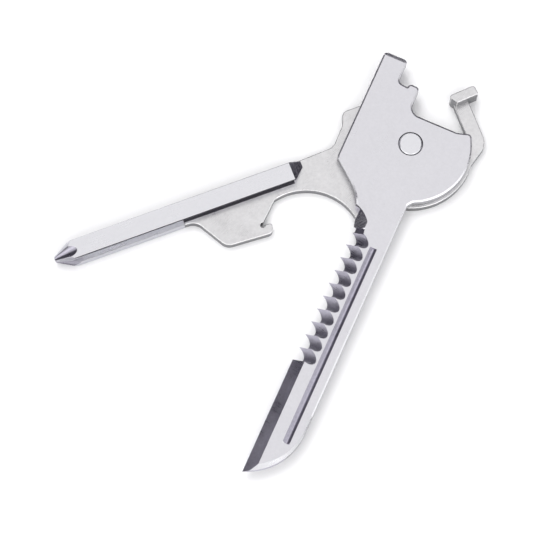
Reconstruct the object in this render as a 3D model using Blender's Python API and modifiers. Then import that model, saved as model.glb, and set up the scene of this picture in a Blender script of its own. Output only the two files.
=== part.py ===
"""Key-shaped folding pocket tool: a blade half and an opener half that turn on one rivet.

The origin is on the hinge axis, on the underside. The driver bar points to -X, +Z is up through
the two leaves, and the blade half stands open at OPEN_ANGLE from the bar.
Run with: blender --background --python part.py
"""

import math

import bmesh
import bpy
from mathutils import Matrix, Vector

MM = 0.001

# Driving dimensions, in millimetres and degrees.
LEAF = 1.5                 # thickness of each leaf
LEAF_GAP = 0.2             # room between the leaves, which the washer fills
FIT = 0.05                 # clearance round the rivet and between pieces that touch
REAR_TOP = LEAF
FRONT_LOW = LEAF + LEAF_GAP
THICKNESS = FRONT_LOW + LEAF
OPEN_ANGLE = 45.4          # blade away from the bar, as the tool is drawn
ARC_STEP = 5.0             # degrees between the points of a rounded corner
REACH = 12.0               # size of a cutter where only one of its faces matters

FRONT_HEAD = 9.3           # radius of the blade half's round head
REAR_HEAD = 9.7            # radius of the opener half's round head
SLOT_LEFT = 4.4            # key ring slot in the opener half, from the hinge
SLOT_RIGHT = 8.77
ARM_OUTER = 11.1

TAB_CENTRE = (10.5, 4.48)   # bent-up latch tab on the end of the arm
TAB_WIDTH = 4.2
TAB_DEPTH = 1.55
TAB_TURN = 4.0
TAB_CORNER = 0.6            # the corner nearest the hinge is cut off, clear of the front head

BLADE_EDGE = 2.95          # cutting edge and spine, either side of the blade's own X axis
BLADE_SPINE = -3.35
TIP_ARC_CENTRE = -48.0     # the end curves from the spine to the edge round this point
TIP_ARC_RADIUS = 9.3
TIP_ARC_END = -161.0
TIP_BEVEL_WIDTHS = (0.2, 0.85)
TIP_BEVEL_SLOPE = 40.0
BLADE_END = TIP_ARC_CENTRE - TIP_ARC_RADIUS
BEVEL_TOP = 1.1            # where the ground bevel meets the blade's face
EDGE_LAND = 0.06           # thickness left at the cutting edge
STRAIGHT_EDGE_START = -37.3

HEEL_X = -15.9             # the ground edge runs out round this point
HEEL_Y = 4.0
HEEL_RADIUS = 4.1
HEEL_SLOT_X = -15.7
HEEL_SLOT_Y = 2.35
HEEL_SLOT_WIDTH = 0.8
HEEL_SLOT_LENGTH = 4.0

SERRATION_COUNT = 10
SERRATION_PITCH = 2.2
SERRATION_FIRST = -16.92   # middle of the first scallop
SERRATION_RADII = (1.5, 0.88)
SERRATION_LEAN = 37.5      # turn of each oval scallop's section, towards the blade's tip
SERRATION_TIP = 2.78       # how far out the teeth reach
SERRATION_RIDGE = 0.06
SERRATION_RISE = 38.0      # slope of each scallop, degrees

DRIVER_GRIND = 11.6        # the wide flat driver tip is ground thinner from here to its end
DRIVER_SLOPE = 30.0
DRIVER_Y = 7.6
DRIVER_WIDTH = 5.0

FULLER_Y = -1.35           # long narrow groove in the blade's face
FULLER_FROM = -17.5
FULLER_TO = -50.6
FULLER_TOP = 1.0           # half its width as far above the face as the floor is below it
FULLER_FLOOR = 0.24
FULLER_DEPTH = 0.3

BAR_OUTER = 3.7            # driver bar, across and along
BAR_INNER = 0.4
BAR_LIP = 0.75
BAR_RAMP_TOP = -18.4
BAR_RAMP_FOOT = -16.35
BAR_LAP = -36.3            # the bar is full height beyond here and sits on the leaf before it
BAR_TIP = -56.6
GROOVE_APEX = 2.8          # the blade's edge folds into this groove
GROOVE_LIP = 0.1           # thickness of the groove's upper lip
GROOVE_END = -52.4
TIP_RELIEF_APEX = 1.95
TIP_RELIEF_LIP = 2.65

CROSS_HALF_ANGLE = 30.0    # cross-head tip
CROSS_POINT = 0.5
CROSS_SHOULDER = 2.6
CROSS_CROWN = 0.15         # how far the blunt point stands out
FLUTE_LENGTH = 3.7
FLUTE_FLOOR = 0.24
FLUTE_NARROW = 0.3         # radius of each flute at the point
FLUTE_TAPER = 0.28         # how fast that radius grows along the flute
FLUTE_BEFORE = 0.9         # how far the cutter runs past the point, and back along the bar
FLUTE_BEYOND = 7.0

RIVET_HEAD = 1.72
RIVET_SLEEVE = 1.2
RIVET_STUD = 0.7
BORE_FLOOR = 0.9           # bottom of the sleeve's blind bore
HEAD_THICKNESS = 0.65
HEAD_CHAMFER = 0.12
SEAT_DEPTH = HEAD_THICKNESS + FIT
SEGMENTS = 48

WASHER_RADIUS = 3.2
WASHER_THICKNESS = 0.12

MOUTH_CENTRE = (-20.2, -8.9)
MOUTH_RADIUS = 8.55
RELIEF_CENTRE = (-25.35, -3.7, 0)  # small drilled relief behind the opener's claw
RELIEF_RADIUS = 0.36


def clear_scene():
    for obj in list(bpy.data.objects):
        bpy.data.objects.remove(obj)


def new_collection(name):
    collection = bpy.data.collections.new(name)
    bpy.context.scene.collection.children.link(collection)
    return collection


def make_material(name, color, roughness):
    material = bpy.data.materials.new(name)
    material.use_nodes = True
    shader = material.node_tree.nodes["Principled BSDF"]
    shader.inputs["Base Color"].default_value = (*color, 1.0)
    shader.inputs["Roughness"].default_value = roughness
    shader.inputs["Metallic"].default_value = 1.0
    return material


def arc(centre, radius, start, end):
    """Points on an arc from start to end, in degrees, both ends included."""
    steps = max(2, math.ceil(abs(end - start) / ARC_STEP))
    points = []
    for step in range(steps + 1):
        angle = math.radians(start + (end - start) * step / steps)
        points.append((centre[0] + radius * math.cos(angle), centre[1] + radius * math.sin(angle)))
    return points


def rounded(corners):
    """An outline through (x, y) points and (x, y, radius) corners, each corner as an arc."""
    points = []
    count = len(corners)
    for index, corner in enumerate(corners):
        here = Vector(corner[:2])
        if len(corner) == 2:
            points.append(tuple(here))
            continue
        before = (Vector(corners[index - 1][:2]) - here).normalized()
        after = (Vector(corners[(index + 1) % count][:2]) - here).normalized()
        half = before.angle(after) / 2
        centre = here + (before + after).normalized() * corner[2] / math.sin(half)
        first = here + before * corner[2] / math.tan(half) - centre
        last = here + after * corner[2] / math.tan(half) - centre
        turn = math.degrees(first.angle_signed(last))
        start = math.degrees(math.atan2(first.y, first.x))
        points += arc(tuple(centre), corner[2], start, start - turn)
    return points


def curve_outline(name, outlines, depth):
    """A filled flat curve of closed outlines, extruded evenly about its own plane."""
    curve = bpy.data.curves.new(name, "CURVE")
    curve.dimensions = "2D"
    curve.fill_mode = "BOTH"
    curve.extrude = depth / 2 * MM
    for outline in outlines:
        spline = curve.splines.new("POLY")
        spline.points.add(len(outline) - 1)
        for point, (x, y) in zip(spline.points, outline):
            point.co = (x * MM, y * MM, 0, 1)
        spline.use_cyclic_u = True
    return bpy.data.objects.new(name, curve)


def as_mesh(curve_object, collection):
    """The curve object as a welded mesh object in the collection."""
    collection.objects.link(curve_object)
    bpy.context.view_layer.update()
    evaluated = curve_object.evaluated_get(bpy.context.evaluated_depsgraph_get())
    mesh = bpy.data.meshes.new_from_object(evaluated)
    weld = bmesh.new()
    weld.from_mesh(mesh)
    bmesh.ops.remove_doubles(weld, verts=weld.verts, dist=0.000001)
    weld.to_mesh(mesh)
    weld.free()
    name = curve_object.name
    place = curve_object.matrix_world.copy()
    bpy.data.objects.remove(curve_object)
    result = bpy.data.objects.new(name, mesh)
    result.matrix_world = place
    collection.objects.link(result)
    return result


def flat_solid(name, outlines, low, high, collection):
    """A plate of the outlines between two heights."""
    plate = curve_outline(name, outlines, high - low)
    plate.location.z = (low + high) / 2 * MM
    return as_mesh(plate, collection)


def prism_along_x(name, outline, start, end, collection):
    """A bar of constant section: the outline holds (y, z), and the bar runs from start to end."""
    bar = curve_outline(name, [outline], abs(end - start))
    bar.rotation_euler = (math.pi / 2, 0, math.pi / 2)
    bar.location.x = (start + end) / 2 * MM
    return as_mesh(bar, collection)


def box(name, low, high, collection):
    """A box between two corners."""
    bpy.ops.mesh.primitive_cube_add(size=1)
    cube = bpy.context.object
    cube.name = name
    size = [(b - a) * MM for a, b in zip(low, high)]
    middle = [(a + b) / 2 * MM for a, b in zip(low, high)]
    cube.data.transform(Matrix.Diagonal((*size, 1)))
    cube.location = middle
    move_to(cube, collection)
    return cube


def cylinder(name, radius, length, centre, direction, collection, segments=SEGMENTS):
    """A cylinder about a centre, along a direction."""
    bpy.ops.mesh.primitive_cylinder_add(vertices=segments, radius=radius * MM, depth=length * MM)
    rod = bpy.context.object
    rod.name = name
    rod.location = [value * MM for value in centre]
    rod.rotation_euler = Vector((0, 0, 1)).rotation_difference(Vector(direction)).to_euler()
    move_to(rod, collection)
    return rod


def turned(name, profile, collection):
    """A body turned about Z from a profile of (radius, height), which starts and ends on the axis."""
    mesh = bpy.data.meshes.new(name)
    points = [(radius * MM, 0, height * MM) for radius, height in profile]
    edges = [(index, index + 1) for index in range(len(points) - 1)]
    mesh.from_pydata(points, edges, [])
    body = bpy.data.objects.new(name, mesh)
    collection.objects.link(body)
    screw = body.modifiers.new("turn", "SCREW")
    screw.steps = SEGMENTS
    screw.render_steps = SEGMENTS
    screw.use_merge_vertices = True
    screw.merge_threshold = 0.000001
    return body


def move_to(obj, collection):
    for owner in list(obj.users_collection):
        owner.objects.unlink(obj)
    collection.objects.link(obj)


def combine(target, tool, operation):
    """Adds an exact Boolean of the tool to the target and hides the tool."""
    modifier = target.modifiers.new(tool.name, "BOOLEAN")
    modifier.operation = operation
    modifier.object = tool
    modifier.solver = "EXACT"
    tool.hide_render = True
    tool.display_type = "WIRE"


def smooth(obj, angle):
    obj.data.shade_smooth()
    obj.data.set_sharp_from_angle(angle=math.radians(angle))


def circle(radius):
    return arc((0, 0), radius, 0, 360)[:-1]


def seat_cutter(name, low, high, cutters):
    """The recess for one head of the rivet."""
    middle = (low + high) / 2
    return cylinder(name, RIVET_HEAD + 2 * FIT, high - low, (0, 0, middle), (0, 0, 1), cutters)


def tip_arc():
    """The curved end of the blade, from the spine round to the edge."""
    centre = (TIP_ARC_CENTRE, BLADE_SPINE + TIP_ARC_RADIUS)
    return arc(centre, TIP_ARC_RADIUS, -90, TIP_ARC_END)


def blade_outline():
    """The blade half's outline, with the blade along -X."""
    return rounded([
        (12.2, 9.35, 0.7),
        (12.2, 5.6, 0.6),
        (8.35, 5.6, 0.75),
        (8.15, 3.95, 0.1),
        (8.8, 3.95, 0.5),
        (8.8, 2.2, 0.6),
        (4.5, 2.2, 1.6),
        (4.5, -5.7, 0.5),
        (5.2, -7.9, 0.7),
        *arc((0, 0), FRONT_HEAD, -62, -155),
        (-9.2, BLADE_SPINE, 0.6),
        *tip_arc(),
        (-18.2, BLADE_EDGE),
        (-15.9, 2.55),
        (-10.7, 4.1, 8.0),
        (-6.4, 9.35, 0.8),
    ])


def bevel_cutter(cutters):
    """The wedge that grinds the straight cutting edge, on the front face only."""
    slope = (THICKNESS - FRONT_LOW - EDGE_LAND) / (BLADE_EDGE - BEVEL_TOP)
    low = FRONT_LOW + EDGE_LAND
    reach = 1.0
    section = [
        (BLADE_EDGE + reach, low - reach * slope),
        (BLADE_EDGE + reach, THICKNESS + reach * slope),
        (BEVEL_TOP - reach, THICKNESS + reach * slope),
    ]
    return prism_along_x("edge_bevel", section, STRAIGHT_EDGE_START, BLADE_END - 1, cutters)


def scallop_cutters(cutters):
    """One sloping oval bar for each scallop of the serrated edge; the ovals lean to the tip."""
    rise = math.radians(SERRATION_RISE)
    lean = math.radians(SERRATION_LEAN)
    along, across = SERRATION_RADII
    deep = math.hypot(along * math.sin(lean), across * math.cos(lean))
    chord = 2 * along * across / deep
    cusp = deep * math.sqrt(1 - (SERRATION_PITCH / chord) ** 2)
    middle_y = SERRATION_TIP + cusp / math.sin(rise)
    oval = Matrix.Rotation(lean, 4, "Z") @ Matrix.Diagonal((along, across, 1, 1))
    slope = Matrix.Rotation(math.pi / 2 - rise, 4, "X")
    for index in range(SERRATION_COUNT):
        scallop = cylinder(f"scallop_{index}", 1, REACH, (0, 0, 0), (0, 0, 1), cutters, 32)
        scallop.data.transform(slope @ oval)
        middle = (SERRATION_FIRST - index * SERRATION_PITCH, middle_y, FRONT_LOW)
        scallop.location = Vector(middle) * MM
        bpy.context.view_layer.update()
        yield scallop
    fall = REACH * math.cos(rise)
    ridge = SERRATION_TIP + SERRATION_RIDGE
    section = [
        (ridge + REACH, FRONT_LOW - 1),
        (ridge + REACH, FRONT_LOW + REACH * math.sin(rise)),
        (ridge - fall, FRONT_LOW + REACH * math.sin(rise)),
        (ridge + math.cos(rise), FRONT_LOW - math.sin(rise)),
    ]
    first = SERRATION_FIRST + SERRATION_PITCH / 2
    last = SERRATION_FIRST - (SERRATION_COUNT - 0.6) * SERRATION_PITCH
    yield prism_along_x("tooth_ridges", section, first, last, cutters)


def heel_cutters(cutters):
    """The round run-out of the ground edge beside the head, and the narrow slot before the teeth."""
    grind = math.atan2(THICKNESS - FRONT_LOW - EDGE_LAND, BLADE_EDGE - BEVEL_TOP)
    normal = Vector((0, math.sin(grind), math.cos(grind)))
    drop = (HEEL_Y - BLADE_EDGE) * math.tan(grind)
    middle = Vector((HEEL_X, HEEL_Y, FRONT_LOW + EDGE_LAND - drop)) + normal * REACH / 2
    yield cylinder("heel_grind", HEEL_RADIUS, REACH, middle, normal, cutters)
    rise = math.radians(SERRATION_RISE)
    size = (HEEL_SLOT_WIDTH, HEEL_SLOT_LENGTH, HEEL_SLOT_LENGTH)
    slot = bpy.data.objects.new("heel_slot", box_mesh(size))
    cutters.objects.link(slot)
    slot.rotation_euler.x = -rise
    outward = Vector((0, math.sin(rise), math.cos(rise))) * HEEL_SLOT_LENGTH / 2
    slot.location = (Vector((HEEL_SLOT_X, HEEL_SLOT_Y, FRONT_LOW)) + outward) * MM
    yield slot


def tip_bevel_cutters(cutters):
    """One box for each facet of the curved end: together they bevel its upper edge."""
    points = tip_arc()
    facets = list(zip(points[:-1], points[1:]))
    centre = Vector((TIP_ARC_CENTRE, BLADE_SPINE + TIP_ARC_RADIUS))
    narrow, wide = TIP_BEVEL_WIDTHS
    for index, (start, end) in enumerate(facets):
        width = narrow + (wide - narrow) * (index + 0.5) / len(facets)
        middle = (Vector(start) + Vector(end)) / 2
        outward = (middle - centre).normalized()
        inner = middle - outward * width
        tool = bpy.data.objects.new(f"tip_bevel_{index}", box_mesh((6, REACH, REACH)))
        cutters.objects.link(tool)
        turn = Matrix.Rotation(math.atan2(outward.y, outward.x) - math.pi / 2, 4, "Z")
        tilt = Matrix.Rotation(math.radians(-TIP_BEVEL_SLOPE), 4, "X")
        lift = Matrix.Translation(Vector((0, 0, REACH / 2)) * MM)
        place = Matrix.Translation(Vector((inner.x, inner.y, THICKNESS)) * MM)
        tool.matrix_world = place @ turn @ tilt @ lift
        yield tool


def driver_cutters(cutters):
    """Two boxes that thin the end of the wide flat driver tip, front and back."""
    slope = math.radians(DRIVER_SLOPE)
    for side, face in ((1, THICKNESS), (-1, FRONT_LOW)):
        tool = bpy.data.objects.new("driver_grind", box_mesh((REACH, DRIVER_WIDTH, REACH)))
        cutters.objects.link(tool)
        tool.rotation_euler.y = side * slope
        outward = Vector((math.sin(slope), 0, side * math.cos(slope))) * REACH / 2
        tool.location = (Vector((DRIVER_GRIND, DRIVER_Y, face)) + outward) * MM
        yield tool


def build_blade_leaf(parts, cutters, material):
    """Upper half: round head, flat driver tips, key ring notch, serrated and plain edge."""
    outlines = [blade_outline(), circle(RIVET_SLEEVE + FIT)]
    leaf = flat_solid("blade_leaf", outlines, FRONT_LOW, THICKNESS, parts)
    tools = [seat_cutter("front_seat", THICKNESS - SEAT_DEPTH, THICKNESS + 1, cutters)]
    tools.append(bevel_cutter(cutters))
    tools.extend(scallop_cutters(cutters))
    tools.extend(heel_cutters(cutters))
    tools.extend(tip_bevel_cutters(cutters))
    fuller = [
        (FULLER_Y - FULLER_TOP, THICKNESS + FULLER_DEPTH),
        (FULLER_Y - FULLER_FLOOR / 2, THICKNESS - FULLER_DEPTH),
        (FULLER_Y + FULLER_FLOOR / 2, THICKNESS - FULLER_DEPTH),
        (FULLER_Y + FULLER_TOP, THICKNESS + FULLER_DEPTH),
    ]
    tools.append(prism_along_x("fuller", fuller, FULLER_FROM, FULLER_TO, cutters))
    tools.extend(driver_cutters(cutters))
    for tool in tools:
        combine(leaf, tool, "DIFFERENCE")
    leaf.data.materials.append(material)
    hinge = bpy.data.objects.new("blade_hinge", None)
    parts.objects.link(hinge)
    leaf.parent = hinge
    for tool in tools:
        tool.parent = hinge
    hinge.rotation_euler.z = math.radians(OPEN_ANGLE)


def opener_outline():
    """The opener half's outline, with the neck and the bottle opener towards -X."""
    return rounded([
        (BAR_LAP, BAR_OUTER),
        (BAR_LAP, BAR_INNER),
        (-34.6, 0.3, 2.0),
        (-31.6, -4.95, 1.8),
        (-24.35, -5.4, 0.8),
        (-23.9, -3.9, 0.35),
        (-25.6, -3.75, 0.1),
        *arc(MOUTH_CENTRE, MOUTH_RADIUS, 104, 8),
        (-11.6, -8.6, 0.6),
        *arc((0, 0), REAR_HEAD, -117, -37),
        (ARM_OUTER, -3.6, 2.4),
        (ARM_OUTER, 4.3),
        (SLOT_RIGHT, 4.3),
        (SLOT_RIGHT, -4.7, 2.1),
        (SLOT_LEFT, -4.7, 2.1),
        (SLOT_LEFT, 1.6, 1.0),
        (1.9, 4.1, 1.0),
        (1.4, 8.9, 1.2),
        (-7.6, 8.85, 1.1),
        (-8.3, 6.9, 3.0),
        (-10.9, 4.1, 1.8),
        (-16.2, 3.9),
    ])


def tab_place():
    """Where the latch tab stands, and how it is turned, on the end of its arm."""
    spot = Matrix.Translation(Vector((*TAB_CENTRE, 0)) * MM)
    return spot @ Matrix.Rotation(math.radians(TAB_TURN), 4, "Z")


def build_opener_leaf(parts, cutters, material):
    """Lower half: round head, latch arm with its bent tab, neck and bottle opener."""
    outlines = [opener_outline(), circle(RIVET_SLEEVE + FIT)]
    leaf = flat_solid("opener_leaf", outlines, 0, REAR_TOP, parts)
    half_width = TAB_WIDTH / 2
    half_depth = TAB_DEPTH / 2
    tab_section = rounded([
        (-half_depth, THICKNESS),
        (-half_depth, 0),
        (half_depth, 0, 1.1),
        (half_depth, THICKNESS),
    ])
    tab = prism_along_x("latch_tab", tab_section, -half_width, half_width, cutters)
    tab_plan = rounded([
        (-half_width + TAB_CORNER, -half_depth, 0.15),
        (half_width, -half_depth, 0.2),
        (half_width, half_depth, 0.5),
        (-half_width, half_depth, 0.45),
        (-half_width, half_depth - TAB_CORNER, 0.15),
    ])
    plan = flat_solid("latch_plan", [tab_plan], -1, THICKNESS + 1, cutters)
    for tool in (tab, plan):
        tool.matrix_world = tab_place() @ tool.matrix_world
    combine(tab, plan, "INTERSECT")
    combine(leaf, tab, "UNION")
    combine(leaf, seat_cutter("rear_seat", -1, SEAT_DEPTH, cutters), "DIFFERENCE")
    relief = cylinder("mouth_relief", RELIEF_RADIUS, REACH, RELIEF_CENTRE, (0, 0, 1), cutters, 24)
    combine(leaf, relief, "DIFFERENCE")
    leaf.data.materials.append(material)
    return leaf


def groove_section(apex, lip_height):
    """Section of the groove under the bar's lip: flat floor, and a roof that slopes to the lip."""
    slope = (lip_height - REAR_TOP) / (apex - BAR_LIP)
    beyond = BAR_INNER - 1.0
    return [(beyond, REAR_TOP), (apex, REAR_TOP), (beyond, REAR_TOP + (apex - beyond) * slope)]


def build_driver_bar(parts, cutters, material):
    """Square driver bar: lapped onto the leaf, grooved for the blade's edge, cross-head tip."""
    section = [(BAR_INNER, 0), (BAR_OUTER, 0), (BAR_OUTER, THICKNESS), (BAR_LIP, THICKNESS)]
    section.append((BAR_LIP, REAR_TOP))
    section.append((BAR_INNER, REAR_TOP))
    bar = prism_along_x("driver_bar", section, BAR_TIP, BAR_RAMP_FOOT, parts)
    middle_y = (BAR_OUTER + BAR_INNER) / 2
    middle_z = THICKNESS / 2

    lap = box("lap", (BAR_LAP - FIT, -REACH, -1), (0, REACH, REAR_TOP + FIT), cutters)
    combine(bar, lap, "DIFFERENCE")

    main = groove_section(GROOVE_APEX, THICKNESS - GROOVE_LIP)
    combine(bar, prism_along_x("edge_groove", main, 0, GROOVE_END, cutters), "DIFFERENCE")
    relief = groove_section(TIP_RELIEF_APEX, TIP_RELIEF_LIP)
    combine(bar, prism_along_x("tip_relief", relief, GROOVE_END + 1, BAR_TIP - 1, cutters), "DIFFERENCE")

    ramp = bpy.data.objects.new("ramp", box_mesh((6, REACH, REACH)))
    cutters.objects.link(ramp)
    fall = math.atan2(THICKNESS - REAR_TOP, BAR_RAMP_FOOT - BAR_RAMP_TOP)
    ramp.rotation_euler.y = fall
    ramp.location = Vector((BAR_RAMP_TOP, middle_y, THICKNESS)) * MM
    ramp.location += Vector((math.sin(fall), 0, math.cos(fall))) * REACH / 2 * MM
    combine(bar, ramp, "DIFFERENCE")

    slope = math.tan(math.radians(CROSS_HALF_ANGLE))
    cone_length = (CROSS_SHOULDER - CROSS_POINT) / slope
    length = BAR_RAMP_FOOT - BAR_TIP + REACH
    pencil = turned("pencil", [
        (0, length),
        (CROSS_SHOULDER, length),
        (CROSS_SHOULDER, cone_length),
        (CROSS_POINT, 0),
        (CROSS_POINT * 0.5, -0.12),
        (0, -CROSS_CROWN),
    ], cutters)
    pencil.rotation_euler.y = math.pi / 2
    pencil.location = Vector((BAR_TIP + CROSS_CROWN, middle_y, middle_z)) * MM
    combine(bar, pencil, "INTERSECT")

    half = (BAR_OUTER - BAR_INNER) / 2
    pitch = math.atan2(half - FLUTE_FLOOR, FLUTE_LENGTH)
    taper = math.atan(FLUTE_TAPER)
    for index in range(4):
        flute = flute_cone(f"flute_{index}", cutters)
        lift = Matrix.Translation(Vector((0, 0, FLUTE_NARROW)) * MM)
        sink = Matrix.Translation(Vector((0, 0, FLUTE_FLOOR)) * MM)
        tilt = Matrix.Rotation(-pitch - taper, 4, "Y")
        around = Matrix.Rotation(math.pi / 2 * index, 4, "X")
        place = Matrix.Translation(Vector((BAR_TIP, middle_y, middle_z)) * MM)
        flute.matrix_world = place @ around @ sink @ lift @ tilt
        combine(bar, flute, "DIFFERENCE")
    bar.data.materials.append(material)
    return bar


def flute_cone(name, cutters):
    """A cone along +X that cuts one tapered flute; the origin is on its axis, at the point."""
    length = FLUTE_BEFORE + FLUTE_BEYOND
    bpy.ops.mesh.primitive_cone_add(
        vertices=32,
        radius1=(FLUTE_NARROW - FLUTE_TAPER * FLUTE_BEFORE) * MM,
        radius2=(FLUTE_NARROW + FLUTE_TAPER * FLUTE_BEYOND) * MM,
        depth=length * MM,
    )
    cone = bpy.context.object
    cone.name = name
    along = Matrix.Translation(Vector((length / 2 - FLUTE_BEFORE, 0, 0)) * MM)
    cone.data.transform(along @ Matrix.Rotation(math.pi / 2, 4, "Y"))
    move_to(cone, cutters)
    return cone


def box_mesh(size):
    """A centred box mesh, for a cutter that is placed by its matrix."""
    mesh = bpy.data.meshes.new("box")
    shape = bmesh.new()
    bmesh.ops.create_cube(shape, size=1, matrix=Matrix.Diagonal((*[value * MM for value in size], 1)))
    shape.to_mesh(mesh)
    shape.free()
    return mesh


def build_rivet(parts, material):
    """Two-piece rivet: the sleeve carries the turning leaf and the stud is pressed into it."""
    sleeve_top = THICKNESS - SEAT_DEPTH - FIT
    bore = RIVET_STUD + FIT
    stud_end = BORE_FLOOR + FIT
    sleeve = turned("rivet_sleeve", [
        (0, BORE_FLOOR),
        (bore, BORE_FLOOR),
        (bore, sleeve_top),
        (RIVET_SLEEVE, sleeve_top),
        (RIVET_SLEEVE, HEAD_THICKNESS),
        (RIVET_HEAD, HEAD_THICKNESS),
        (RIVET_HEAD, HEAD_CHAMFER),
        (RIVET_HEAD - HEAD_CHAMFER, 0),
        (0, 0),
    ], parts)
    stud = turned("rivet_stud", [
        (0, THICKNESS),
        (RIVET_HEAD - HEAD_CHAMFER, THICKNESS),
        (RIVET_HEAD, THICKNESS - HEAD_CHAMFER),
        (RIVET_HEAD, THICKNESS - HEAD_THICKNESS),
        (RIVET_STUD, THICKNESS - HEAD_THICKNESS),
        (RIVET_STUD, stud_end + HEAD_CHAMFER),
        (RIVET_STUD - HEAD_CHAMFER, stud_end),
        (0, stud_end),
    ], parts)
    for piece in (sleeve, stud):
        piece.data.materials.append(material)
        smooth(piece, 30)


def build_washer(parts, material):
    """Thin washer that the leaves turn against."""
    low = REAR_TOP + (LEAF_GAP - WASHER_THICKNESS) / 2
    outlines = [circle(WASHER_RADIUS), circle(RIVET_SLEEVE + FIT)]
    washer = flat_solid("pivot_washer", outlines, low, low + WASHER_THICKNESS, parts)
    washer.data.materials.append(material)


def main():
    clear_scene()
    parts = new_collection("multi_tool")
    cutters = new_collection("cutters")
    polished = make_material("polished_steel", (0.78, 0.78, 0.80), 0.25)
    satin = make_material("satin_steel", (0.70, 0.70, 0.68), 0.38)
    bar_steel = make_material("bar_steel", (0.80, 0.80, 0.82), 0.22)
    rivet_steel = make_material("rivet_steel", (0.76, 0.76, 0.77), 0.3)
    bronze = make_material("washer_bronze", (0.62, 0.50, 0.30), 0.35)
    build_blade_leaf(parts, cutters, polished)
    build_opener_leaf(parts, cutters, satin)
    build_driver_bar(parts, cutters, bar_steel)
    build_rivet(parts, rivet_steel)
    build_washer(parts, bronze)


main()
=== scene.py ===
"""Looks for the key-shaped folding pocket tool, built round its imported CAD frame.

Each half of the tool, the driver bar and the rivet is a class that makes its visible mesh from the
frame's node, breaks its edges, dresses it in ground, satin or polished steel, and rides it on the
right body. Lengths are in metres in the frame's own axes; only a Break is in millimetres.
"""

import logging
import math
from collections.abc import Callable
from dataclasses import dataclass
from enum import Enum

import bmesh
import bpy
from mathutils import Matrix, Vector

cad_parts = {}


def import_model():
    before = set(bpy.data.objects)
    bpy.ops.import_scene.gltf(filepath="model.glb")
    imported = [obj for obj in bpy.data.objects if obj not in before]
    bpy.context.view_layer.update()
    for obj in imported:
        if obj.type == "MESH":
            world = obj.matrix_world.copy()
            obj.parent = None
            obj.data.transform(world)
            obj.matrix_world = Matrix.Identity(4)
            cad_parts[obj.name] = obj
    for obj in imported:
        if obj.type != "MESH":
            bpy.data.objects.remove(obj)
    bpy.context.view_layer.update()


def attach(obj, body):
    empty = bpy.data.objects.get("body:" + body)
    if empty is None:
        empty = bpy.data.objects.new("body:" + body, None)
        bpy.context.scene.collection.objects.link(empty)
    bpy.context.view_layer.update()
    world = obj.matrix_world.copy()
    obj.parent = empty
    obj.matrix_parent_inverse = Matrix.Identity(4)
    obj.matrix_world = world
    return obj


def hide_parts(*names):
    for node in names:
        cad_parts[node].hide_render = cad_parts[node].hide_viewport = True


MM = 0.001
LOG = logging.getLogger("pocket_tool")
OPEN_ANGLE = math.radians(45.4)  # from the driver bar to the blade, as the frame stands
FLAT = 0.999  # the normal of a flat face points up or down by more than this
UPRIGHT = 0.02  # the normal of a wall does so by less than this
SAME_LEVEL = 0.01 * MM  # edges nearer in height than this are broken together
BUMP_HEIGHT = 0.01 * MM  # depth of the marks in the steel

EdgeTest = Callable[[bmesh.types.BMEdge], bool]


class Zone(Enum):
    """Where on a steel piece a face lies, which decides how it was finished.

    BREAK is also the finish of the bevels that were polished with the edges; on the blade its brighter tone
    is also a painted highlight on the heel and tip slopes, and on the driver bar its dark tone is a painted
    shade line.
    """

    FACE = 0
    WALL = 1
    BREAK = 2
    GROUND = 3


@dataclass(frozen=True)
class Pattern:
    """A noise over the steel.

    Attributes:
        cells: cells per metre along the pattern, across it and through the steel.
        octaves: how many finer layers it has.
        fineness: weight of the finer layers.
    """

    cells: tuple[float, float, float]
    octaves: float
    fineness: float


CLOUDS = Pattern((260, 260, 260), 5.0, 0.55)
SPECKS = Pattern((2300, 2300, 2300), 3.0, 0.6)
GRAIN = Pattern((90, 14000, 900), 3.0, 0.7)
STRAYS = Pattern((120, 2600, 700), 2.0, 0.5)
STRAY_TURN = 0.9  # from the grinding lines to the stray scratches, in radians


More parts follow.
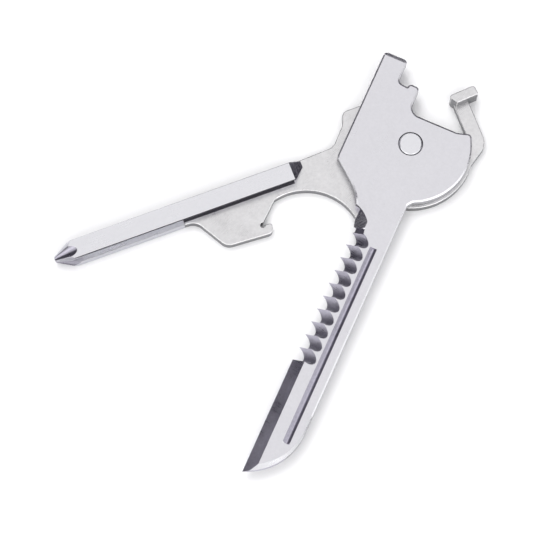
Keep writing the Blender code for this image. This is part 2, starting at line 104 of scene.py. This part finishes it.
@dataclass(frozen=True)
class SteelFinish:
    """One steel surface: its tone, gloss and the marks that making and use leave in it.

    Attributes:
        name: the material's name.
        tone: linear colour of the metal; several finishes darken it as painted shade, and the blade's edge
            finish brightens it as a painted highlight.
        roughness: the middle of its roughness.
        mottle: how far cloudy patches shift the tone.
        grain: strength of the fine grinding lines.
        grain_angle: direction of the lines, in radians from +X.
        scratches: strength of the stray handling scratches.
        pits: strength of the fine satin pitting.
    """

    name: str
    tone: tuple[float, float, float]
    roughness: float
    mottle: float = 0.03
    grain: float = 0.2
    grain_angle: float = 0.0
    scratches: float = 0.12
    pits: float = 0.15

    def material(self) -> bpy.types.Material:
        """Builds the node material of the finish.

        Returns:
            The new material.
        """
        made = bpy.data.materials.new(self.name)
        made.use_nodes = True
        tree = made.node_tree
        shader = tree.nodes["Principled BSDF"]
        shader.inputs["Metallic"].default_value = 1.0
        coords = tree.nodes.new("ShaderNodeTexCoord")
        clouds = self._noise(tree, coords, CLOUDS)
        specks = self._noise(tree, coords, SPECKS)
        lines = self._noise(tree, coords, GRAIN, self.grain_angle)
        strays = self._noise(tree, coords, STRAYS, self.grain_angle + STRAY_TURN)
        self._colour(tree, shader, clouds, specks)
        self._roughness(tree, shader, clouds, lines, strays)
        self._bump(tree, shader, lines, specks, strays)
        return made

    @staticmethod
    def _noise(
        tree: bpy.types.NodeTree, coords: bpy.types.Node, pattern: Pattern, angle: float = 0.0
    ) -> bpy.types.NodeSocket:
        """Adds a noise that is stretched and turned on the piece.

        Args:
            tree: the material's nodes.
            coords: the texture coordinate node.
            pattern: the noise's cells and layers.
            angle: turn of the pattern about Z.

        Returns:
            The noise's value.
        """
        turn = tree.nodes.new("ShaderNodeMapping")
        turn.vector_type = "TEXTURE"
        turn.inputs["Rotation"].default_value = (0, 0, angle)
        turn.inputs["Scale"].default_value = tuple(1 / value for value in pattern.cells)
        noise = tree.nodes.new("ShaderNodeTexNoise")
        noise.inputs["Scale"].default_value = 1.0
        noise.inputs["Detail"].default_value = pattern.octaves
        noise.inputs["Roughness"].default_value = pattern.fineness
        tree.links.new(coords.outputs["Object"], turn.inputs["Vector"])
        tree.links.new(turn.outputs["Vector"], noise.inputs["Vector"])
        return noise.outputs["Fac"]

    def _colour(
        self,
        tree: bpy.types.NodeTree,
        shader: bpy.types.Node,
        clouds: bpy.types.NodeSocket,
        specks: bpy.types.NodeSocket,
    ) -> None:
        """Lets cloudy patches and specks shift the tone.

        Args:
            tree: the material's nodes.
            shader: the node that takes the colour.
            clouds: the broad noise.
            specks: the fine noise, which shifts it a little less.
        """
        broad, fine = self.mottle, 0.6 * self.mottle
        patches = self._map(tree, clouds, (0.3, 0.7), (1 - broad, 1 + broad))
        dots = self._map(tree, specks, (0.3, 0.7), (1 - fine, 1 + fine))
        value = self._math(tree, "MULTIPLY", patches, dots)
        mix = tree.nodes.new("ShaderNodeVectorMath")
        mix.operation = "SCALE"
        mix.inputs[0].default_value = self.tone
        tree.links.new(value, mix.inputs["Scale"])
        tree.links.new(mix.outputs["Vector"], shader.inputs["Base Color"])

    def _roughness(
        self,
        tree: bpy.types.NodeTree,
        shader: bpy.types.Node,
        clouds: bpy.types.NodeSocket,
        lines: bpy.types.NodeSocket,
        strays: bpy.types.NodeSocket,
    ) -> None:
        """Varies the gloss with the patches, the grain and the scratches.

        Args:
            tree: the material's nodes.
            shader: the node that takes the roughness.
            clouds: the broad noise.
            lines: the grain.
            strays: the noise whose peaks are scratches.
        """
        spread = 0.22 * self.roughness
        depth = 0.3 * self.grain
        patches = self._map(tree, clouds, (0.25, 0.75), (self.roughness - spread, self.roughness + spread))
        grain = self._map(tree, lines, (0.3, 0.7), (-depth, depth))
        value = self._math(tree, "ADD", patches, grain)
        marks = self._map(tree, strays, (0.66, 0.8), (0.0, self.scratches))
        value = self._math(tree, "ADD", value, marks)
        tree.links.new(value, shader.inputs["Roughness"])

    def _bump(
        self,
        tree: bpy.types.NodeTree,
        shader: bpy.types.Node,
        lines: bpy.types.NodeSocket,
        specks: bpy.types.NodeSocket,
        strays: bpy.types.NodeSocket,
    ) -> None:
        """Gives the surface its grain, pitting and scratches in relief.

        Args:
            tree: the material's nodes.
            shader: the node that takes the normal.
            lines: the grain.
            specks: the pitting.
            strays: the noise whose peaks are scratches.
        """
        scratch = self._map(tree, strays, (0.68, 0.9), (0.0, -0.5))
        normal = None
        for height, strength in ((lines, self.grain), (specks, self.pits), (scratch, self.scratches)):
            bump = tree.nodes.new("ShaderNodeBump")
            bump.inputs["Strength"].default_value = strength
            bump.inputs["Distance"].default_value = BUMP_HEIGHT
            tree.links.new(height, bump.inputs["Height"])
            if normal is not None:
                tree.links.new(normal, bump.inputs["Normal"])
            normal = bump.outputs["Normal"]
        tree.links.new(normal, shader.inputs["Normal"])

    @staticmethod
    def _map(
        tree: bpy.types.NodeTree,
        source: bpy.types.NodeSocket,
        span: tuple[float, float],
        result: tuple[float, float],
    ) -> bpy.types.NodeSocket:
        """Adds a clamped map from one range to another.

        Args:
            tree: the material's nodes.
            source: the value to map.
            span: the source's range.
            result: the range that it becomes.

        Returns:
            The mapped value.
        """
        node = tree.nodes.new("ShaderNodeMapRange")
        for name, value in zip(("From Min", "From Max", "To Min", "To Max"), span + result):
            node.inputs[name].default_value = value
        tree.links.new(source, node.inputs["Value"])
        return node.outputs["Result"]

    @staticmethod
    def _math(
        tree: bpy.types.NodeTree,
        operation: str,
        first: bpy.types.NodeSocket,
        second: bpy.types.NodeSocket,
    ) -> bpy.types.NodeSocket:
        """Adds a math node on two values.

        Args:
            tree: the material's nodes.
            operation: the node's operation.
            first: its first value.
            second: its second value.

        Returns:
            The result.
        """
        node = tree.nodes.new("ShaderNodeMath")
        node.operation = operation
        tree.links.new(first, node.inputs[0])
        tree.links.new(second, node.inputs[1])
        return node.outputs["Value"]


@dataclass(frozen=True)
class Break:
    """How a sharp edge is broken: a rounding, or a chamfer when it has one segment.

    Attributes:
        width: its width on the flat face, in millimetres.
        depth: how far it comes down the wall, in millimetres.
        segments: facets across it.
    """

    width: float
    depth: float
    segments: int = 1


@dataclass(frozen=True)
class Finishes:
    """The finishes of one piece, one for each zone of its surface."""

    face: SteelFinish
    wall: SteelFinish
    edge: SteelFinish
    ground: SteelFinish

    def apply(self, piece: bpy.types.Object) -> None:
        """Puts the four finishes on the piece, in the order of the zones."""
        piece.data.materials.clear()
        for finish in (self.face, self.wall, self.edge, self.ground):
            piece.data.materials.append(finish.material())


def deselect_all() -> None:
    """Goes to object mode with nothing selected."""
    if bpy.context.object and bpy.context.object.mode != "OBJECT":
        bpy.ops.object.mode_set(mode="OBJECT")
    bpy.ops.object.select_all(action="DESELECT")


def activate(piece: bpy.types.Object) -> None:
    """Makes the piece the only selected object and the active one."""
    deselect_all()
    piece.select_set(True)
    bpy.context.view_layer.objects.active = piece


@dataclass
class SteelPiece:
    """A visible steel piece that stands for one CAD node.

    Attributes:
        node: the CAD node's name.
        name: the visible piece's name.
        body: the body that it rides on.
        slot: the record's material slot; not used.
        finishes: what its surfaces look like.
        edge_break: how its outline is broken.
        under_break: how its underside is broken.
        waist: height that parts its upper edges from its lower ones.
        fold: the smallest angle between faces that stays sharp.
        same_point: points nearer than this in the frame's mesh are one.
        same_plane: the angle under which two of its triangles are one face.
        sliver: length of the edges that are merged after the breaks.
    """

    node: str
    name: str
    body: str
    slot: str
    finishes: Finishes
    edge_break: Break
    under_break: Break = Break(0.08, 0.08, 2)
    waist: float = 0.0
    fold: float = math.radians(17)
    same_point: float = 0.0005 * MM
    same_plane: float = math.radians(0.4)
    sliver: float = 0.002 * MM

    def build(self) -> None:
        """Makes the piece, breaks its edges, dresses it and mounts it."""
        piece = self.copy_node()
        self.weld(piece)
        for test, style in self.breaks():
            self.break_edges(piece, test, style)
        self.clean(piece)
        self.finishes.apply(piece)
        self.sort_faces(piece)
        self.shade(piece)
        self.mount(piece)

    def copy_node(self) -> bpy.types.Object:
        """Returns a free copy of the node with its own mesh."""
        source = bpy.data.objects[self.node]
        piece = bpy.data.objects.new(self.name, source.data.copy())
        bpy.context.scene.collection.objects.link(piece)
        return piece

    def weld(self, piece: bpy.types.Object) -> None:
        """Joins the copy's loose triangles and clears flat edges.

        Args:
            piece: the copy.
        """
        activate(piece)
        bpy.ops.mesh.customdata_custom_splitnormals_clear()
        bpy.ops.object.mode_set(mode="EDIT")
        bpy.ops.mesh.select_all(action="SELECT")
        bpy.ops.mesh.remove_doubles(threshold=self.same_point)
        bpy.ops.mesh.dissolve_limited(angle_limit=self.same_plane)
        bpy.ops.object.mode_set(mode="OBJECT")

    def breaks(self) -> list[tuple[EdgeTest, Break]]:
        """Returns pairs of an edge test and the break that its edges get."""
        return [(self.is_outline, self.edge_break)]

    @staticmethod
    def is_outline(edge: bmesh.types.BMEdge) -> bool:
        """Tells whether the edge joins a flat face to an upright wall."""
        if len(edge.link_faces) != 2:
            return False
        lesser, greater = sorted(abs(face.normal.z) for face in edge.link_faces)
        return edge.is_convex and lesser < UPRIGHT and greater > FLAT

    @staticmethod
    def is_between(edge: bmesh.types.BMEdge, low: float = -math.inf, high: float = math.inf) -> bool:
        """Tells whether the whole edge lies between two heights."""
        return all(low < vertex.co.z < high for vertex in edge.verts)

    def is_upper(self, edge: bmesh.types.BMEdge) -> bool:
        """Tells whether the edge is on the outline above the waist."""
        return self.is_outline(edge) and self.is_between(edge, low=self.waist)

    def is_lower(self, edge: bmesh.types.BMEdge) -> bool:
        """Tells whether the edge is on the outline below the waist."""
        return self.is_outline(edge) and self.is_between(edge, high=self.waist)

    def break_edges(self, piece: bpy.types.Object, test: EdgeTest, style: Break) -> None:
        """Breaks the edges that pass a test, one height after another.

        Args:
            piece: the piece.
            test: tells whether an edge is broken.
            style: the break's width, depth and facets.
        """
        activate(piece)
        bpy.ops.object.mode_set(mode="EDIT")
        bpy.ops.mesh.select_mode(type="EDGE")
        mesh = bmesh.from_edit_mesh(piece.data)
        levels = {round(edge.verts[0].co.z / MM, 2) for edge in mesh.edges if test(edge)}
        for level in sorted(levels):
            self.break_level(piece, test, style, level * MM)
        bpy.ops.object.mode_set(mode="OBJECT")

    @staticmethod
    def break_level(piece: bpy.types.Object, test: EdgeTest, style: Break, level: float) -> None:
        """Breaks the edges at one height, and squashes the break to its depth.

        Args:
            piece: the piece, in edit mode.
            test: tells whether an edge is broken.
            style: the break's width, depth and facets.
            level: the height of the edges.
        """
        bpy.ops.mesh.select_all(action="DESELECT")
        mesh = bmesh.from_edit_mesh(piece.data)
        for edge in mesh.edges:
            if test(edge) and abs(edge.verts[0].co.z - level) < SAME_LEVEL:
                edge.select = True
        bmesh.update_edit_mesh(piece.data)
        bpy.ops.mesh.bevel(
            offset=style.width * MM,
            offset_type="OFFSET",
            segments=style.segments,
            profile=0.5,
            affect="EDGES",
            clamp_overlap=False,
            miter_outer="SHARP",
            miter_inner="SHARP",
        )
        if style.depth != style.width:
            bpy.ops.transform.resize(value=(1, 1, style.depth / style.width), center_override=(0, 0, level))

    def clean(self, piece: bpy.types.Object) -> None:
        """Merges the slivers that breaking short edges leaves.

        Args:
            piece: the piece.
        """
        activate(piece)
        bpy.ops.object.mode_set(mode="EDIT")
        bpy.ops.mesh.select_all(action="SELECT")
        bpy.ops.mesh.remove_doubles(threshold=self.sliver)
        bpy.ops.mesh.select_all(action="SELECT")
        bpy.ops.mesh.normals_make_consistent(inside=False)
        bpy.ops.object.mode_set(mode="OBJECT")

    def zone_of(self, normal: Vector, centre: Vector) -> Zone:
        """Tells how a face was finished.

        Args:
            normal: which way it looks.
            centre: where it lies.

        Returns:
            Its zone.
        """
        if abs(normal.z) > FLAT:
            return Zone.FACE
        if abs(normal.z) < UPRIGHT:
            return Zone.WALL
        return Zone.BREAK

    def sort_faces(self, piece: bpy.types.Object) -> None:
        """Gives each face the material of its zone.

        Args:
            piece: the piece.
        """
        for face in piece.data.polygons:
            face.material_index = self.zone_of(face.normal, face.center).value

    def shade(self, piece: bpy.types.Object) -> None:
        """Shades round surfaces smooth and keeps flat ones flat.

        Args:
            piece: the piece.
        """
        activate(piece)
        bpy.ops.object.shade_smooth_by_angle(angle=self.fold)
        weigh = piece.modifiers.new("even_flats", "WEIGHTED_NORMAL")
        weigh.keep_sharp = True
        weigh.weight = 100
        bpy.ops.object.modifier_apply(modifier=weigh.name)

    def mount(self, piece: bpy.types.Object) -> None:
        """Rides the piece on its body in place of the node.

        Args:
            piece: the finished piece.
        """
        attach(piece, self.body)
        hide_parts(self.node)
        LOG.info("%s: %d faces, rides on %s", piece.name, len(piece.data.polygons), self.body)


@dataclass
class BladeHalf(SteelPiece):
    """The upper leaf: head, flat driver tips, notch and blade.

    Attributes:
        recess_break: how the edge round the rivet is broken.
        rivet_reach: how far from the hinge the rivet's recess goes.
        ground_start: where the ground edge starts along the blade.
        heel_end: where the run-out of the ground edge ends.
        heel_tilt: the run-out's faces look up by more than this.
        tip_start: where the blade's back starts to curve to its tip.
        tip_tilt: the bevel on the curve looks up by more than this.
        spine_side: the side of the fuller, from the blade's own axis.
        sunk_top: height below which a flat face is the floor of the fuller.
    """

    waist: float = 2.4 * MM
    recess_break: Break = Break(0.08, 0.2)
    rivet_reach: float = 2.2 * MM
    ground_start: float = -10.5 * MM
    heel_end: float = -15.25 * MM
    heel_tilt: float = 0.2
    tip_start: float = -45.0 * MM
    tip_tilt: float = 0.1
    spine_side: float = -2.4 * MM
    sunk_top: float = 3.1 * MM

    def breaks(self) -> list[tuple[EdgeTest, Break]]:
        """Returns the upper outline, the edge round the rivet and the underside."""
        return [
            (self.is_rim, self.edge_break),
            (self.is_recess, self.recess_break),
            (self.is_lower, self.under_break),
        ]

    def is_near_rivet(self, edge: bmesh.types.BMEdge) -> bool:
        """Tells whether the edge is round the rivet."""
        return all(vertex.co.xy.length < self.rivet_reach for vertex in edge.verts)

    def is_rim(self, edge: bmesh.types.BMEdge) -> bool:
        """Tells whether the edge is on the leaf's own upper outline."""
        return self.is_upper(edge) and not self.is_near_rivet(edge)

    def is_recess(self, edge: bmesh.types.BMEdge) -> bool:
        """Tells whether the edge bounds the rivet's recess."""
        return self.is_upper(edge) and self.is_near_rivet(edge)

    def zone_of(self, normal: Vector, centre: Vector) -> Zone:
        """Tells how a face was finished; the blade's slopes are ground, and its heel and tip take the
        bright edge tone as a painted highlight.

        Args:
            normal: which way it looks.
            centre: where it lies.

        Returns:
            Its zone.
        """
        zone = super().zone_of(normal, centre)
        to_blade = Matrix.Rotation(-OPEN_ANGLE, 3, "Z")
        place, facing = to_blade @ centre, to_blade @ normal
        sunk = normal.z > FLAT and centre.z < self.sunk_top
        sloped = zone is not Zone.FACE and place.x < self.ground_start and place.y > self.spine_side
        heel = place.x > self.heel_end and facing.z > self.heel_tilt
        tip = place.x < self.tip_start and facing.y < 0 and facing.z > self.tip_tilt
        # Heel and tip slopes that look up take the brighter edge tone: a painted highlight.
        if sloped and (heel or tip):
            return Zone.BREAK
        return Zone.GROUND if sunk or sloped else zone


@dataclass
class OpenerHalf(SteelPiece):
    """The lower leaf: head, latch arm, neck and bottle opener.

    Attributes:
        tab_break: how the top of the latch tab is broken.
        tab_foot: height above which its sides take the face's tone instead of the walls' darker painted
            shade.
        tab_waist: height that parts the tab's top from the leaf's.
        lap_start: where the driver bar starts to cover the leaf.
        lap_end: where the leaf ends in the driver bar.
        lap_slack: how near to that end a face or an edge counts as being at it.
        bar_lip: the bar's overhanging edge; the strip behind it gets a dark painted shade.
    """

    waist: float = 1.0 * MM
    tab_break: Break = Break(0.12, 0.1, 2)
    tab_foot: float = 1.6 * MM
    tab_waist: float = 2.0 * MM
    lap_start: float = -18.4 * MM
    lap_end: float = -36.3 * MM
    lap_slack: float = 0.1 * MM
    bar_lip: float = 0.75 * MM

    def breaks(self) -> list[tuple[EdgeTest, Break]]:
        """Returns the latch tab's top, the upper outline and the underside."""
        return [
            (self.is_tab_top, self.tab_break),
            (self.is_rim, self.edge_break),
            (self.is_under_rim, self.under_break),
        ]

    def is_tab_top(self, edge: bmesh.types.BMEdge) -> bool:
        """Tells whether the edge bounds the top of the latch tab."""
        return self.is_outline(edge) and self.is_between(edge, low=self.tab_waist)

    def is_rim(self, edge: bmesh.types.BMEdge) -> bool:
        """Tells whether the edge is on the leaf's own upper outline."""
        below_tab = self.is_between(edge, high=self.tab_waist)
        return self.is_upper(edge) and below_tab and not self.is_lap(edge)

    def is_under_rim(self, edge: bmesh.types.BMEdge) -> bool:
        """Tells whether the edge is on the leaf's own lower outline."""
        return self.is_lower(edge) and not self.is_lap(edge)

    def is_lap(self, edge: bmesh.types.BMEdge) -> bool:
        """Tells whether the edge meets the driver bar."""
        return all(vertex.co.x < self.lap_end + self.lap_slack for vertex in edge.verts)

    def is_leaf_top(self, normal: Vector, centre: Vector) -> bool:
        """Tells whether a face is part of the leaf's own upper side."""
        return normal.z > FLAT and centre.z < self.tab_waist

    def weld(self, piece: bpy.types.Object) -> None:
        """Joins the copy's triangles, and splits its top face along the bar's lip.

        Args:
            piece: the copy.
        """
        super().weld(piece)
        bpy.ops.object.mode_set(mode="EDIT")
        bpy.ops.mesh.select_mode(type="FACE")
        bpy.ops.mesh.select_all(action="DESELECT")
        mesh = bmesh.from_edit_mesh(piece.data)
        for face in mesh.faces:
            face.select = self.is_leaf_top(face.normal, face.calc_center_median())
        bmesh.update_edit_mesh(piece.data)
        bpy.ops.mesh.bisect(plane_co=(0, self.bar_lip, 0), plane_no=(0, 1, 0))
        bpy.ops.mesh.select_all(action="DESELECT")
        mesh = bmesh.from_edit_mesh(piece.data)
        for face in mesh.faces:
            centre = face.calc_center_median()
            face.select = self.is_leaf_top(face.normal, centre) and centre.y > self.bar_lip
        bmesh.update_edit_mesh(piece.data)
        bpy.ops.mesh.bisect(plane_co=(self.lap_start, 0, 0), plane_no=(1, 0, 0))
        bpy.ops.object.mode_set(mode="OBJECT")

    def zone_of(self, normal: Vector, centre: Vector) -> Zone:
        """Tells how a face was finished; the strip behind the bar's lip gets a dark painted shade.

        Args:
            normal: which way it looks.
            centre: where it lies.

        Returns:
            Its zone.
        """
        along_bar = self.lap_end - self.lap_slack < centre.x < self.lap_start
        # The leaf's top behind the bar's lip takes the dark ground tone: painted shade for the groove's
        # shadowed floor.
        if along_bar and centre.y > self.bar_lip and self.is_leaf_top(normal, centre):
            return Zone.GROUND
        zone = super().zone_of(normal, centre)
        # Tab sides above the foot skip the walls' painted shade and take the face's brighter tone.
        return Zone.FACE if zone is Zone.WALL and centre.z > self.tab_foot else zone


@dataclass
class DriverBar(SteelPiece):
    """The square bar with its groove and cross-head tip.

    Attributes:
        ramp_top: where the bar's end starts to slope down to the leaf.
        tip_start: where the square bar ends and its cross-head tip starts.
        cone_lean: how far the tip's cone looks along the bar; its flutes look otherwise.
        cone_slack: how far from that lean a face still counts as the cone's.
        wall_tilt: a face that looks up by less than this is a wall, the groove's slopes included.
    """

    waist: float = 2.5 * MM
    ramp_top: float = -19.0 * MM
    tip_start: float = -52.5 * MM
    cone_lean: float = 0.5
    cone_slack: float = 0.04
    wall_tilt: float = 0.1

    def breaks(self) -> list[tuple[EdgeTest, Break]]:
        """Returns the bar's long edges, without those that meet the leaf."""
        return [(self.is_upper, self.edge_break)]

    def zone_of(self, normal: Vector, centre: Vector) -> Zone:
        """Tells how a face was finished; the ramp and the tip's flutes are ground.

        Args:
            normal: which way it looks.
            centre: where it lies.

        Returns:
            Its zone.
        """
        zone = super().zone_of(normal, centre)
        if zone is not Zone.BREAK:
            return zone
        on_cone = abs(normal.x + self.cone_lean) < self.cone_slack
        if centre.x > self.ramp_top or (centre.x < self.tip_start and not on_cone):
            return Zone.GROUND
        # Chamfers left in BREAK take the bar's dark edge tone: a painted shade line along the top edges.
        return Zone.WALL if normal.z < self.wall_tilt or on_cone else zone


@dataclass
class RivetPart(SteelPiece):
    """One half of the rivet: its flat head is broken round the rim.

    Attributes:
        head: height of the head's flat end.
        head_slack: how near to it the rim lies.
    """

    head: float = 3.2 * MM
    head_slack: float = 0.1 * MM

    def breaks(self) -> list[tuple[EdgeTest, Break]]:
        """Returns the rim of the head."""
        return [(self.is_rim, self.edge_break)]

    def is_rim(self, edge: bmesh.types.BMEdge) -> bool:
        """Tells whether the edge bounds the flat end of the head."""
        at_head = self.is_between(edge, self.head - self.head_slack, self.head + self.head_slack)
        flats = sum(abs(face.normal.z) > FLAT for face in edge.link_faces)
        return at_head and len(edge.link_faces) == 2 and flats == 1


@dataclass
class Studio:
    """Floor, lights, world and camera.

    Attributes:
        distance: from the hinge to the camera.
        sensor: width of the camera's sensor, in millimetres.
        lens: its focal length, in millimetres.
        lean: how far the camera leans from straight down.
        lean_axis: the axis that it leans about, in the view's own axes.
        turn: turn of the view about the hinge.
        aim: yaw and pitch that move the hinge off the middle of the view.
        hinge_top: height of the point that the camera leans about.
        clip: nearest and farthest distance that it sees.
        floor_size: side of the floor.
        floor_gap: how far the floor lies below the tool.
        surround: colour of the world.
        focus: the point that the lights look at, in the view's own axes.
    """

    distance: float = 0.6
    sensor: float = 36.0
    lens: float = 261.1
    lean: float = math.radians(19)
    lean_axis: tuple[float, float, float] = (0.98, -0.2, 0)
    turn: float = math.radians(-21.086)
    aim: tuple[float, float] = (math.radians(1.99), math.radians(-1.79))
    hinge_top: float = 3.2 * MM
    clip: tuple[float, float] = (0.01, 20)
    floor_size: float = 3.0
    floor_gap: float = 0.05 * MM
    surround: tuple[float, float, float, float] = (0.08, 0.075, 0.095, 1)
    focus: tuple[float, float, float] = (-0.02, -0.01, 0)

    def build(self) -> None:
        """Makes everything that isn't the tool."""
        self.floor()
        self.world()
        self.lights()
        self.camera()

    def floor(self) -> None:
        """Lays the pale floor under the tool."""
        deselect_all()
        bpy.ops.mesh.primitive_plane_add(size=self.floor_size, location=(0, 0, -self.floor_gap))
        plane = bpy.context.object
        plane.name = "floor"
        made = bpy.data.materials.new("pale_floor")
        made.use_nodes = True
        shader = made.node_tree.nodes["Principled BSDF"]
        shader.inputs["Base Color"].default_value = (0.9, 0.9, 0.9, 1)
        shader.inputs["Roughness"].default_value = 0.9
        shader.inputs["Specular IOR Level"].default_value = 0.1
        plane.data.materials.append(made)

    def world(self) -> None:
        """Sets a dim, slightly cool surround."""
        scene = bpy.context.scene
        world = bpy.data.worlds.new("studio")
        world.use_nodes = True
        back = world.node_tree.nodes["Background"]
        back.inputs["Color"].default_value = self.surround
        back.inputs["Strength"].default_value = 1.0
        scene.world = world
        scene.view_settings.view_transform = "Standard"

    def panel(
        self,
        name: str,
        size: tuple[float, float],
        place: tuple[float, float, float],
        radiance: float,
        seen: bool = True,
    ) -> None:
        """Hangs one soft light that looks at the tool, in the view's own axes.

        Args:
            name: the light's name.
            size: its width and height.
            place: where it hangs, right, up and towards the viewer.
            radiance: how bright its surface is.
            seen: whether the steel reflects it.
        """
        turn = Matrix.Rotation(self.turn, 3, "Z")
        spot, aim = turn @ Vector(place), turn @ Vector(self.focus)
        data = bpy.data.lights.new(name, "AREA")
        data.shape = "RECTANGLE"
        data.size, data.size_y = size
        data.energy = radiance * math.pi * size[0] * size[1]
        light = bpy.data.objects.new(name, data)
        bpy.context.scene.collection.objects.link(light)
        light.location = spot
        light.rotation_euler = (aim - spot).to_track_quat("-Z", "Y").to_euler()
        light.visible_glossy = seen
        light.visible_camera = False

    def lights(self) -> None:
        """Hangs the overhead softbox, the low edge lights and the floor wash."""
        self.panel("overhead", (0.60, 0.44), (0.03, 0.11, 0.42), 1.0)
        self.panel("edge_right", (0.66, 0.56), (0.42, -0.30, 0.42), 1.3)
        self.panel("edge_left", (0.66, 0.56), (-0.46, -0.30, 0.42), 1.3)
        self.panel("edge_front", (0.60, 0.56), (-0.02, -0.38, 0.40), 1.3)
        self.panel("floor_wash", (0.4, 0.4), (-0.16, 0.20, 0.5), 3.4, seen=False)

    def camera(self) -> None:
        """Places the camera above the tool."""
        turn = Matrix.Rotation(self.turn, 3, "Z")
        lean = Matrix.Rotation(self.lean, 3, Vector(self.lean_axis))
        base = turn @ lean
        yaw, pitch = self.aim
        aimed = base @ Matrix.Rotation(yaw, 3, "Y") @ Matrix.Rotation(pitch, 3, "X")
        data = bpy.data.cameras.new("camera")
        data.lens = self.lens
        data.sensor_width = self.sensor
        data.clip_start, data.clip_end = self.clip
        camera = bpy.data.objects.new("camera", data)
        bpy.context.scene.collection.objects.link(camera)
        spot = Vector((0, 0, self.hinge_top)) + base @ Vector((0, 0, 1)) * self.distance
        camera.matrix_world = Matrix.Translation(spot) @ aimed.to_4x4()
        bpy.context.scene.camera = camera


BLADE_FINISHES = Finishes(
    face=SteelFinish(
        "blade_satin", (0.71, 0.705, 0.73), 0.33, mottle=0.04, grain=0.12, grain_angle=OPEN_ANGLE
    ),
    # The wall tone, darker than the face's, is painted shade on the leaf's sides.
    wall=SteelFinish("blade_wall_painted_shade", (0.42, 0.42, 0.44), 0.36, grain=0.2, grain_angle=OPEN_ANGLE),
    # The brighter edge tone also paints a highlight on the blade's heel and tip slopes.
    edge=SteelFinish("blade_edge_break_and_painted_highlight", (0.82, 0.82, 0.84), 0.3, grain=0.2),
    ground=SteelFinish(
        "blade_ground",
        (0.47, 0.455, 0.525),
        0.33,
        mottle=0.14,
        grain=0.22,
        grain_angle=OPEN_ANGLE + 1.2,
        pits=0.4,
    ),
)
OPENER_FINISHES = Finishes(
    face=SteelFinish("opener_satin", (0.695, 0.69, 0.69), 0.3, mottle=0.1, grain=0.1, grain_angle=0.35),
    # The wall tone, far darker than the face's, is painted shade on the leaf's sides.
    wall=SteelFinish("opener_wall_painted_shade", (0.24, 0.24, 0.25), 0.4, grain=0.2),
    edge=SteelFinish("opener_edge_break", (0.70, 0.70, 0.70), 0.25, grain=0.08),
    # The opener's ground finish is used only on the strip behind the bar's lip: a dark painted shade.
    ground=SteelFinish("opener_painted_shade_strip", (0.1, 0.095, 0.11), 0.6, mottle=0.1, grain=0.3),
)
BAR_FINISHES = Finishes(
    face=SteelFinish("bar_ground_face", (0.74, 0.74, 0.76), 0.3, mottle=0.025, grain=0.12),
    # The wall tone, darker than the face's, is painted shade on the bar's sides.
    wall=SteelFinish("bar_wall_painted_shade", (0.60, 0.60, 0.64), 0.34, grain=0.2),
    # The dark edge tone is a painted shade line on the bar's chamfers.
    edge=SteelFinish("bar_edge_painted_shade", (0.3, 0.3, 0.32), 0.22, grain=0.08),
    ground=SteelFinish("bar_ramp", (0.36, 0.35, 0.40), 0.28, grain=0.2, grain_angle=math.pi / 2),
)
RIVET_FINISHES = Finishes(
    face=SteelFinish("rivet_face", (0.75, 0.75, 0.77), 0.3, mottle=0.02, grain=0.08),
    wall=SteelFinish("rivet_wall", (0.5, 0.5, 0.52), 0.35, grain=0.1),
    edge=SteelFinish("rivet_edge", (0.72, 0.72, 0.74), 0.22, grain=0.08),
    ground=SteelFinish("rivet_ground", (0.6, 0.6, 0.62), 0.3, grain=0.1),
)
BRONZE = SteelFinish("washer_bronze", (0.60, 0.45, 0.24), 0.35, grain=0.1)
WASHER_FINISHES = Finishes(face=BRONZE, wall=BRONZE, edge=BRONZE, ground=BRONZE)

BLADE_CHAMFER = Break(0.24, 0.1)
OPENER_ROUND = Break(0.1, 0.1, 2)
BAR_CHAMFER = Break(0.12, 0.12)
RIVET_ROUND = Break(0.06, 0.06, 2)
WASHER_CHAMFER = Break(0.02, 0.02)


def main() -> None:
    """Builds the tool round its frame, then the studio."""
    logging.basicConfig(level=logging.INFO, format="%(name)s: %(message)s")
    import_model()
    rivet = ("opener_half", "rivet_steel", RIVET_FINISHES, RIVET_ROUND)
    pieces = [
        BladeHalf(
            "blade_leaf", "blade_half_steel", "blade_half", "blade_steel", BLADE_FINISHES, BLADE_CHAMFER
        ),
        OpenerHalf(
            "opener_leaf", "opener_half_steel", "opener_half", "opener_steel", OPENER_FINISHES, OPENER_ROUND
        ),
        DriverBar(
            "driver_bar", "driver_bar_steel", "opener_half", "bar_steel", BAR_FINISHES, BAR_CHAMFER
        ),
        RivetPart("rivet_stud", "rivet_head", *rivet),
        RivetPart("rivet_sleeve", "rivet_base", *rivet, head=0.0),
        SteelPiece(
            "pivot_washer", "bronze_washer", "opener_half", "washer_bronze", WASHER_FINISHES, WASHER_CHAMFER
        ),
    ]
    for piece in pieces:
        piece.build()
    Studio().build()


if __name__ == "__main__":
    main()
